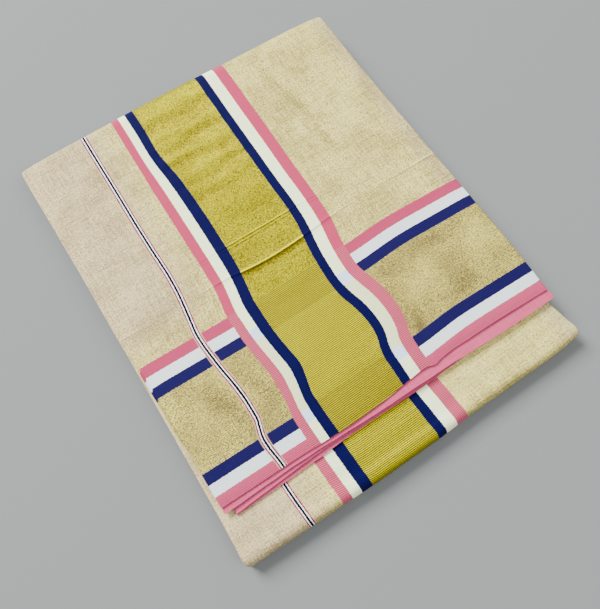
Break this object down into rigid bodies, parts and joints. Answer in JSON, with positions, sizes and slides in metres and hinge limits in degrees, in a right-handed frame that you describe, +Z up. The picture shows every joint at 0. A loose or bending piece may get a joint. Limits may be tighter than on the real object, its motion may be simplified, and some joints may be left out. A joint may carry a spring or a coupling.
{
  "type": "folded tissue saree",
  "caption": "Gold-shot tissue saree with a striped end piece and border, folded flat into a rectangular packet that rests on a surface.",
  "frame": {"origin": "middle of the packet's footprint, on the surface it rests on", "axes": "+X along the packet's short side, +Y along its long side towards the far fold, +Z up out of the surface"},
  "size_m": [0.2547, 0.3131, 0.0189],
  "materials": {
    "pallu_cloth": "cream tissue shot with fine gold thread, with a bright gold band and navy, white and pink stripes",
    "selvedge_cloth": "plain pink woven selvedge, soft sheen",
    "body_cloth": "cream tissue shot with fine gold thread, seen at the folded edges"
  },
  "bodies": {
    "root": {"upper_leaf": "pallu_cloth", "far_fold": "pallu_cloth", "underside": "pallu_cloth", "near_fold_strip": "pallu_cloth", "selvedge_leaf_second": "selvedge_cloth", "selvedge_leaf_third": "selvedge_cloth", "selvedge_leaf_fourth": "selvedge_cloth", "hidden_layers": "body_cloth"}
  },
  "joints": []
}
